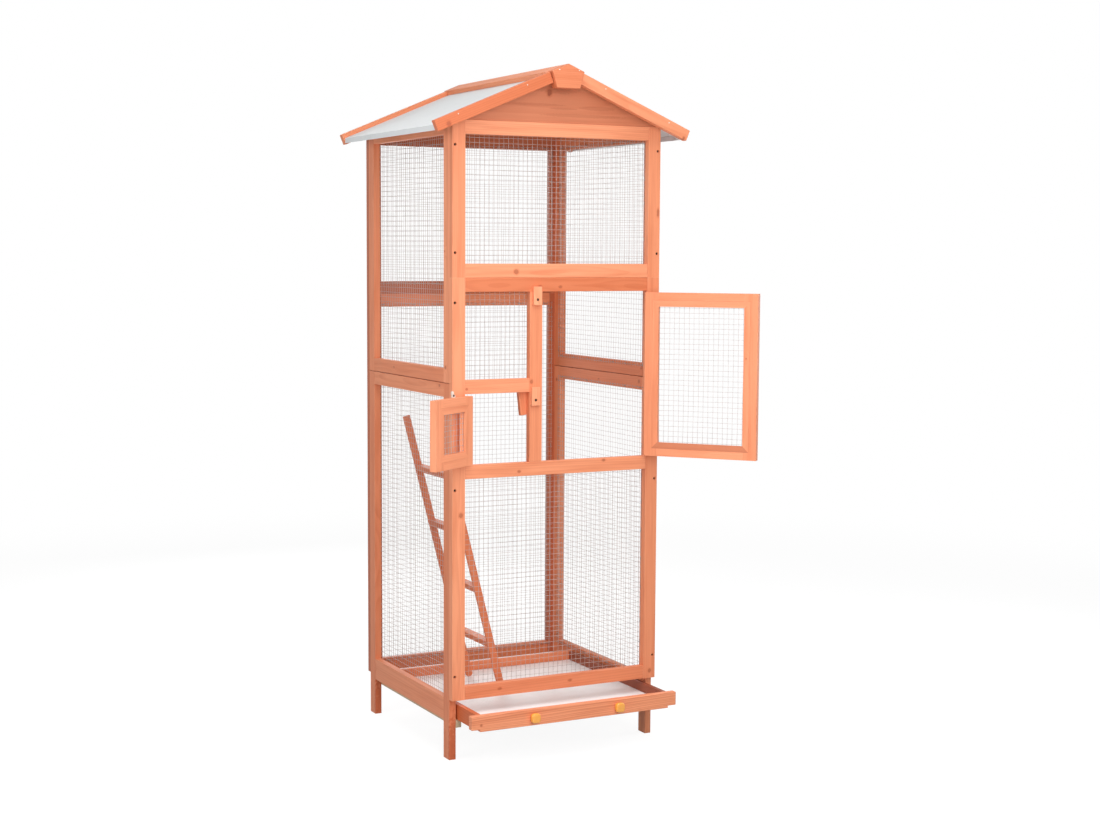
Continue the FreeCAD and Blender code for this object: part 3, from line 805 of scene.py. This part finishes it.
def mark_grain(mesh, depth, spread):
    """Gives each solid of a mesh its own grain: place and half sizes along its axes, a seed and a tone.

    The seed is the fraction left of a large sine of the solid's centre, so it keeps to its place,
    and the tone is the depth of the stain and of painted shade, moved up or down by the seed.
    """
    solid = solids_of(mesh)
    corners = numbers(mesh.vertices, "co", 3)
    axes = facing_axes(mesh, solid)
    local = np.einsum("ni,nij->nj", corners, axes[solid])
    low, high = boxes_of(solid, local)
    middle = (low + high) / 2
    centre = np.round(np.einsum("kj,kij->ki", middle, axes) / mm)
    seed = np.modf(np.abs(np.sin(centre @ seed_mix) * seed_scale))[0]
    set_attribute(mesh, "place", "FLOAT_VECTOR", local - middle[solid])
    set_attribute(mesh, "half", "FLOAT_VECTOR", ((high - low) / 2)[solid])
    set_attribute(mesh, "seed", "FLOAT", seed[solid])
    tone = np.clip(depth + spread * (seed - 0.5), 0, 1)
    set_attribute(mesh, "tone", "FLOAT", tone[solid])


def ease_node(node, width):
    """Replaces a node by its eased copy, with the attributes that the grain of wood is drawn from."""
    mesh = eased_mesh(node, width, node == "ridge_battens")
    mark_grain(mesh, *board_stains_and_shade.get(node, usual_stain))
    piece = bpy.data.objects.new(node + "_eased", mesh)
    return hold(piece, body_of_node[node], slot_of_node[node], finish_of(node), node)


def enclosed(points, faces):
    """Six times the volume inside each stack's faces, each face a fan of triangles from its first corner."""
    wedges = np.cross(points[faces[..., 1:-1]], points[faces[..., 2:]])
    return (points[faces[..., :1]] * wedges).sum(axis=(1, 2, 3))


def skin(name, rings, **attributes):
    """A closed skin over each stack of rings, given as an array of stacks, rings, points and x, y, z.

    Each ring is joined to the next by one face for every side, and the first and last are filled.
    The faces of a stack are turned outwards by the sign of the volume that they enclose.
    """
    stacks, rows, columns, _ = rings.shape
    index = np.arange(stacks * rows * columns).reshape(stacks, rows, columns)
    here = index[:, :-1]
    there = index[:, 1:]
    sides = np.stack([here, np.roll(here, -1, 2), np.roll(there, -1, 2), there], axis=-1)
    sides = sides.reshape(stacks, -1, 4)
    caps = np.stack([index[:, 0, ::-1], index[:, -1]], axis=1)
    points = rings.reshape(-1, 3)
    inside_out = enclosed(points, sides) + enclosed(points, caps) < 0
    sides[inside_out] = sides[inside_out, :, ::-1]
    caps[inside_out] = caps[inside_out, :, ::-1]
    sides = sides.reshape(-1, 4)
    caps = caps.reshape(-1, columns)
    mesh = bpy.data.meshes.new(name)
    mesh.from_pydata(points.tolist(), [], sides.tolist() + caps.tolist())
    smooth = np.repeat([True, False], [len(sides), len(caps)])
    mesh.polygons.foreach_set("use_smooth", smooth)
    for label, values in attributes.items():
        set_attribute(mesh, label, "FLOAT", values)
    mesh.update()
    return bpy.data.objects.new(name, mesh)


# Nets

def net_frame(node):
    """The net's axes across, up and towards the wood that backs it, and its box along them."""
    mesh = frame["nodes"][node].data
    corners = numbers(mesh.vertices, "co", 3)
    facing = facing_axes(mesh, np.zeros(len(corners), int))[0][:, 2]
    backing = {"front_middle_mesh": "front_middle_rail"}.get(node, node.replace("mesh", "rails"))
    wood_centre = numbers(frame["nodes"][backing].data.vertices, "co", 3).mean(axis=0)
    towards = facing * np.sign(facing @ (wood_centre - corners.mean(axis=0)))
    up = np.array([0.0, 0.0, 1.0])
    axes = np.stack([np.cross(up, towards), up, towards])
    local = corners @ axes.T
    return axes, local.min(axis=0), local.max(axis=0)


def evenly(low, high, inset, pitch):
    """Places from one edge to the other, inset at both, about one pitch apart."""
    steps = max(1, round((high - low - 2 * inset) / pitch))
    return np.linspace(low + inset, high - inset, steps + 1)


def bulge(spots, low, high):
    """How far a net leans out of its window at spots across and up: a flat dome, none on the wood."""
    lap_low = low[:2] + net_lap
    lap_high = high[:2] - net_lap
    share = np.clip((spots - lap_low) / (lap_high - lap_low), 0, 1)
    return net_bulge * np.sqrt(np.abs(np.sin(np.pi * share).prod(axis=-1)))


def net_wires(node, random):
    """Two layers of round wires, welded where they cross.

    Each wire is a circle carried along a nearly straight path, which wanders a little in the plane
    by two slow sines and follows the net's bulge.
    """
    axes, low, high = net_frame(node)
    middle = (low[2] + high[2]) / 2
    turn = 2 * np.pi * (np.arange(wire_sides) + 0.5) / wire_sides
    share = np.linspace(0, 1, wire_segments + 1)
    rings = []
    alongs = []
    for run, step, side in ((1, 0, -1), (0, 1, 1)):
        places = evenly(low[step], high[step], wire_stub, net_pitch)
        crossings = evenly(low[run], high[run], wire_stub, net_pitch)
        phase = random.uniform(0, 2 * np.pi, (2, len(places), 1))
        waves = [np.sin(wave * share + start) for wave, start in zip(wander_waves, phase)]
        wander = waves[0] + second_wave_share * waves[1]
        path = np.zeros((len(places), len(share), 3))
        path[..., run] = low[run] + share * (high[run] - low[run])
        path[..., step] = places[:, None] + wire_wander * wander
        path[..., 2] = middle + side * wire_layer + bulge(path[..., :2], low, high)
        around = np.zeros((wire_sides, 3))
        around[:, step] = wire_radius * np.cos(turn)
        around[:, 2] = wire_radius * np.sin(turn)
        rings.append(path[:, :, None, :] + around)
        along = (path[..., run] - crossings[0]) / (crossings[1] - crossings[0])
        alongs.append(np.repeat(along[..., None], wire_sides, axis=2))
    rings = np.concatenate(rings) @ axes
    piece = skin(node.replace("mesh", "wires"), rings, along=np.concatenate(alongs))
    return hold(piece, body_of_node[node], slot_of_node[node], finishes["galvanised_wire"], node)


def with_mirror(left):
    """Points on the left of a staple and their mirror images, from one end to the other."""
    return np.array(left + [(-along, deep) for along, deep in reversed(left)])


def net_staples(node, random):
    """Staples over the net's edges: a flat bar carried along a square bridge whose legs go into the wood."""
    axes, low, high = net_frame(node)
    top = low[2] - staple_height / 2
    half = staple_crown / 2
    ease = staple_height
    bridge = with_mirror([(-half, staple_leg), (-half, ease), (ease - half, 0)])
    outward = with_mirror([(-1, 0), (-1, -staple_corner_share), (-staple_corner_share, -1)])
    thick = np.array([-1, -1, 1, 1]) * staple_height / 2
    wide = np.array([-1, 1, 1, -1]) * staple_width / 2
    stacks = []
    for run, step in ((0, 1), (1, 0)):
        for edge in (low[step] + staple_inset, high[step] - staple_inset):
            places = evenly(low[run], high[run], 2 * staple_crown, staple_spacing)
            count = len(places)
            tilt = random.uniform(-staple_tilt, staple_tilt, count)
            shift = random.uniform(-staple_shift, staple_shift, count)
            along = bridge[:, None, 0] + outward[:, None, 0] * thick
            deep = bridge[:, None, 1] + outward[:, None, 1] * thick
            flat = np.broadcast_to(wide, along.shape)
            cosine = np.cos(tilt)[:, None, None]
            sine = np.sin(tilt)[:, None, None]
            stack = np.zeros((count, *along.shape, 3))
            stack[..., run] = (places + shift)[:, None, None] + along * cosine - flat * sine
            stack[..., step] = edge + along * sine + flat * cosine
            stack[..., 2] = top + deep
            stacks.append(stack)
    piece = skin(node.replace("mesh", "staples"), np.concatenate(stacks) @ axes)
    return hold(piece, body_of_node[node], slot_of_node[node], finishes["staple_wire"])


def strip_rings(run, low, high, outer, inward, top):
    """Two rings of a mitred strip along an axis: its section with a chamfer on the two edges that show.

    Each point of the section lies as far from the ends of the strip as from its outer edge.
    """
    inset = np.array([0, 0, strip_round, strip_width - strip_round, strip_width, strip_width])
    base = top + strip_thickness
    rings = np.zeros((2, len(inset), 3))
    rings[0, :, run] = low + inset
    rings[1, :, run] = high - inset
    rings[..., 1 - run] = outer + inward * inset
    rings[..., 2] = [base, top + strip_round, top, top, top + strip_round, base]
    return rings


def cover_strips(node, lower_finish):
    """Four mitred strips over the edges of a door's net, the lower one with a finish of its own."""
    axes, low, high = net_frame(node)
    left, bottom = low[:2] - strip_edge
    right, top = high[:2] + strip_edge
    level = low[2] - strip_gap - strip_thickness
    upper = [
        strip_rings(1, bottom, top, left, 1, level),
        strip_rings(1, bottom, top, right, -1, level),
        strip_rings(0, left, right, top, -1, level),
    ]
    lower = [strip_rings(0, left, right, bottom, 1, level - lower_strip_rise)]
    strips = (("cover_strips", upper, trim_stain), ("lower_strip", lower, lower_finish))
    for kind, rings, finish in strips:
        piece = skin(node.replace("mesh", kind), np.stack(rings) @ axes)
        piece.data.polygons.foreach_set("use_smooth", np.zeros(len(piece.data.polygons), bool))
        mark_grain(piece.data, *board_stains_and_shade.get(piece.name, usual_stain))
        hold(piece, body_of_node[node], "stained_wood", finish)


# Knobs and fasteners

def node_solids(node):
    """A node's corners, the number of the solid that each belongs to, and the axes of each solid."""
    mesh = merged_mesh(node)
    solid = solids_of(mesh)
    return numbers(mesh.vertices, "co", 3), solid, facing_axes(mesh, solid)


def facing(out):
    """The axes across, up and out of pieces that face the given ways, all level."""
    across = np.cross((0.0, 0.0, 1.0), out)
    return np.stack([across, np.cross(out, across), out], axis=1)


def placed(rings, places, out):
    """Copies of the rings of one piece, each at its place and turned to face its way."""
    return np.einsum("rci,kij->krcj", rings, facing(out)) + places[:, None, None, :]


def turned_rings(heights, radii, columns, shape):
    """Rings about the z axis: each at its height, its radius times a shape over rows and angles."""
    angle = 2 * np.pi * np.arange(columns) / columns
    radius = radii[:, None] * shape(angle)
    level = np.broadcast_to(heights[:, None], radius.shape)
    return np.stack([radius * np.cos(angle), radius * np.sin(angle), level], axis=-1)


def screw_rings(radius, length):
    """A screw with its head up: a turned profile whose last rings close in between the arms of a cross."""
    notches = np.append(0.0, screw_notch_shares)[:, None]

    def cross(angle):
        """Full at the four arms, and less between them by the root of the sine of twice the angle."""
        return 1 - notches * np.sqrt(np.abs(np.sin(2 * angle)))

    heights = np.append(-length, -screw_depth_shares * radius)
    radii = np.append(screw_tip_share, screw_radius_shares) * radius
    return turned_rings(heights, radii, screw_columns, cross)


def nail_rings():
    """A round nail with a low domed head."""
    heights = np.array([-nail_length, -nail_rise, nail_shoulder_share * nail_rise, nail_rise])
    return turned_rings(heights, nail_radius_shares * nail_radius, nail_columns, np.ones_like)


def screws(node):
    """Screws with a crossed recess in place of a node's plain ones, their heads to the front or rear."""
    corners, solid, _ = node_solids(node)
    low, high = boxes_of(solid, corners)
    middle = (low + high) / 2
    side = np.sign(middle[:, 1])
    out = np.zeros_like(middle)
    out[:, 1] = side
    places = middle + out * (high - low)[:, 1:2] / 2
    rings = screw_rings((high - low)[0, 0] / 2, (high - low)[0, 1])
    piece = skin(node + "_crossed", placed(rings, places, out))
    hold(piece, body_of_node[node], slot_of_node[node], finishes["screw_steel"], node)


def leaf_screws(node, backing):
    """Two small screws in each hinge leaf, in the middle of its plate, clear of the knuckle.

    Along a leaf's axes, height, width and thickness, the knuckle is where most corners are.
    """
    corners, solid, axes = node_solids(node)
    local = np.einsum("ni,nij->nj", corners, axes[solid])
    low, high = boxes_of(solid, local)
    middle = (low + high) / 2
    mean = np.zeros_like(middle)
    np.add.at(mean, solid, local)
    mean /= np.bincount(solid)[:, None]
    wood_centre = numbers(frame["nodes"][backing].data.vertices, "co", 3).mean(axis=0)
    away = np.sign(middle[:, 2] - axes[:, :, 2] @ wood_centre)
    place = middle.copy()
    place[:, 1] += np.sign(middle[:, 1] - mean[:, 1]) * leaf_screw_out
    back = np.where(away > 0, low[:, 2], high[:, 2])
    place[:, 2] = back + away * (leaf_plate + leaf_screw_rise)
    places = []
    for end in (-1, 1):
        spread = place.copy()
        spread[:, 0] += end * leaf_screw_spread_share * (high - low)[:, 0]
        places.append(np.einsum("kj,kij->ki", spread, axes))
    out = np.tile(axes[:, :, 2] * away[:, None], (2, 1))
    rings = screw_rings(leaf_screw_radius, leaf_screw_length)
    piece = skin(node + "_screws", placed(rings, np.concatenate(places), out))
    hold(piece, body_of_node[node], "hinge_steel", finishes["hinge_steel"])


def nails(node, spots, side):
    """Nails at places across and up on the front or rear face of a node."""
    corners = numbers(frame["nodes"][node].data.vertices, "co", 3)
    face = corners[:, 1].min() if side < 0 else corners[:, 1].max()
    spots = np.array(spots) * mm
    places = np.column_stack([spots[:, 0], np.full(len(spots), face), spots[:, 1]])
    out = np.tile([0.0, side, 0.0], (len(spots), 1))
    piece = skin(node + "_nails", placed(nail_rings(), places, out))
    hold(piece, body_of_node[node], "screw_steel", finishes["nail_steel"])


def knobs(node):
    """Moulded knobs: round at the neck, and in the head a curve where powers of across and up add to 1."""

    def squarish(angle):
        """The radius in each row and direction of the curve with that row's power."""
        power = knob_powers[:, None]
        return (np.abs(np.cos(angle)) ** power + np.abs(np.sin(angle)) ** power) ** (-1 / power)

    corners, solid, _ = node_solids(node)
    low, high = boxes_of(solid, corners)
    middle = (low + high) / 2
    places = middle.copy()
    places[:, 1] = high[:, 1]
    out = np.tile([0.0, -1.0, 0.0], (len(places), 1))
    length = (high - low)[0, 1]
    radius = (high - low)[0, 0] / 2
    rings = turned_rings(knob_length_shares * length, knob_radius_shares * radius, knob_columns, squarish)
    piece = skin(node + "_moulded", placed(rings, places, out))
    hold(piece, body_of_node[node], slot_of_node[node], finishes["amber_knob"], node)


# The studio

def make_camera():
    """The photograph's camera: its right, up and backward axes from yaw, pitch and roll."""
    ahead = np.array([-math.sin(camera_yaw), math.cos(camera_yaw), 0.0])
    right = np.array([math.cos(camera_yaw), math.sin(camera_yaw), 0.0])
    top = np.array([0.0, 0.0, 1.0])
    forward = ahead * math.cos(camera_pitch) - top * math.sin(camera_pitch)
    up = ahead * math.sin(camera_pitch) + top * math.cos(camera_pitch)
    rolled_right = right * math.cos(camera_roll) + up * math.sin(camera_roll)
    rolled_up = up * math.cos(camera_roll) - right * math.sin(camera_roll)
    turn = np.eye(4)
    turn[:3, :3] = np.column_stack([rolled_right, rolled_up, -forward])
    turn[:3, 3] = camera_place
    lens = bpy.data.cameras.new("photo_camera")
    lens.lens = camera_lens
    lens.sensor_width = camera_sensor
    lens.shift_x, lens.shift_y = camera_shift
    camera = bpy.data.objects.new("photo_camera", lens)
    camera.matrix_world = turn.T.tolist()
    scene.collection.objects.link(camera)
    scene.camera = camera


def soft_lamp(name, place, aim, width, height, power):
    """A soft box that faces a point."""
    lamp = bpy.data.lights.new(name, "AREA")
    lamp.shape = "RECTANGLE"
    lamp.size = width
    lamp.size_y = height
    lamp.energy = power
    box = bpy.data.objects.new(name, lamp)
    away = np.array(place) - np.array(aim)
    away = away / np.linalg.norm(away)
    right = np.cross((0, 0, 1), away)
    right = right / np.linalg.norm(right)
    turn = np.eye(4)
    turn[:3, :3] = np.column_stack([right, np.cross(away, right), away])
    turn[:3, 3] = place
    box.matrix_world = turn.T.tolist()
    scene.collection.objects.link(box)


def seen_directly(tree):
    """1 for rays that show the background itself: from the camera, a reflection or through glass."""
    path = add(tree, "LightPath").outputs
    glossy = calc(tree, "MAXIMUM", path["Is Glossy Ray"], path["Is Transmission Ray"])
    return calc(tree, "MAXIMUM", path["Is Camera Ray"], glossy)


def make_world(fill):
    """A white surround, which lights the object with the fill alone."""
    world = bpy.data.worlds.new("studio")
    world.use_nodes = True
    tree = world.node_tree
    seen = add(tree, "Background", {"Color": (1, 1, 1, 1), "Strength": 1.0})
    lit = add(tree, "Background", {"Color": (1, 1, 1, 1), "Strength": fill})
    both = add(tree, "MixShader", {0: seen_directly(tree), 1: lit.outputs[0], 2: seen.outputs[0]})
    tree.links.new(both.outputs[0], tree.nodes["World Output"].inputs["Surface"])
    scene.world = world


def make_floor(reach, fade):
    """A pale floor that keeps the shadow near the object and fades into the white surround."""
    corners = [(-reach, -reach, 0), (reach, -reach, 0), (reach, reach, 0), (-reach, reach, 0)]
    mesh = bpy.data.meshes.new("studio_floor")
    mesh.from_pydata(corners, [], [(0, 1, 2, 3)])
    floor = bpy.data.objects.new("studio_floor", mesh)
    scene.collection.objects.link(floor)
    made, tree, shader = material("studio_floor")
    seen = seen_directly(tree)
    albedo = calc(tree, "MULTIPLY_ADD", seen, floor_seen_albedo - floor_albedo, floor_albedo)
    grey = add(tree, "CombineColor", {0: albedo, 1: albedo, 2: albedo}).outputs[0]
    glow = times(tree, seen, floor_glow)
    feed(tree, shader, Base_Color=grey, Roughness=0.9, Specular_IOR_Level=0.0)
    feed(tree, shader, Emission_Color=(1, 1, 1, 1), Emission_Strength=glow)
    white = add(tree, "Emission", {"Color": (1, 1, 1, 1), "Strength": 1.0})
    far = ramp(tree, length_of(tree, object_place(tree)), fade[0], fade[1])
    share = times(tree, far, seen)
    mixed = add(tree, "MixShader", {0: share, 1: shader.outputs[0], 2: white.outputs[0]})
    tree.links.new(mixed.outputs[0], tree.nodes["Material Output"].inputs["Surface"])
    mesh.materials.append(made)


# The order of work
random = np.random.default_rng(wander_seed)
ease_widths = {
    "stained_wood": wood_ease,
    "raw_wood": wood_ease,
    "roof_sheet": sheet_ease,
    "tray_panel": panel_ease,
    "hinge_steel": leaf_ease,
}
node_eases = dict.fromkeys(door_frames, door_ease)
strip_finishes = {"large_door_mesh": dull_stain, "small_door_mesh": trim_stain}
for node in sorted(frame["nodes"]):
    slot = slot_of_node[node]
    if slot == "galvanised_wire":
        net_wires(node, random)
        if node in strip_finishes:
            cover_strips(node, strip_finishes[node])
        else:
            net_staples(node, random)
    elif slot == "screw_steel":
        screws(node)
    elif slot == "amber_knob":
        knobs(node)
    else:
        ease_node(node, node_eases.get(node, ease_widths[slot]))
for door in ("large_door", "small_door"):
    leaf_screws(door + "_hinge_leaves", door + "_stiles")
    leaf_screws(door + "_frame_hinge_leaves", "front_lower_stiles")
nails("front_barge_boards", barge_nails, -1)
nails("rear_barge_boards", barge_nails, 1)
nails("ridge_plates", ridge_plate_nails, -1)

make_camera()
make_world(world_fill)
for name, row in lamps.items():
    soft_lamp(name, *row)
make_floor(floor_reach, floor_fade)
scene.view_settings.view_transform = "Standard"
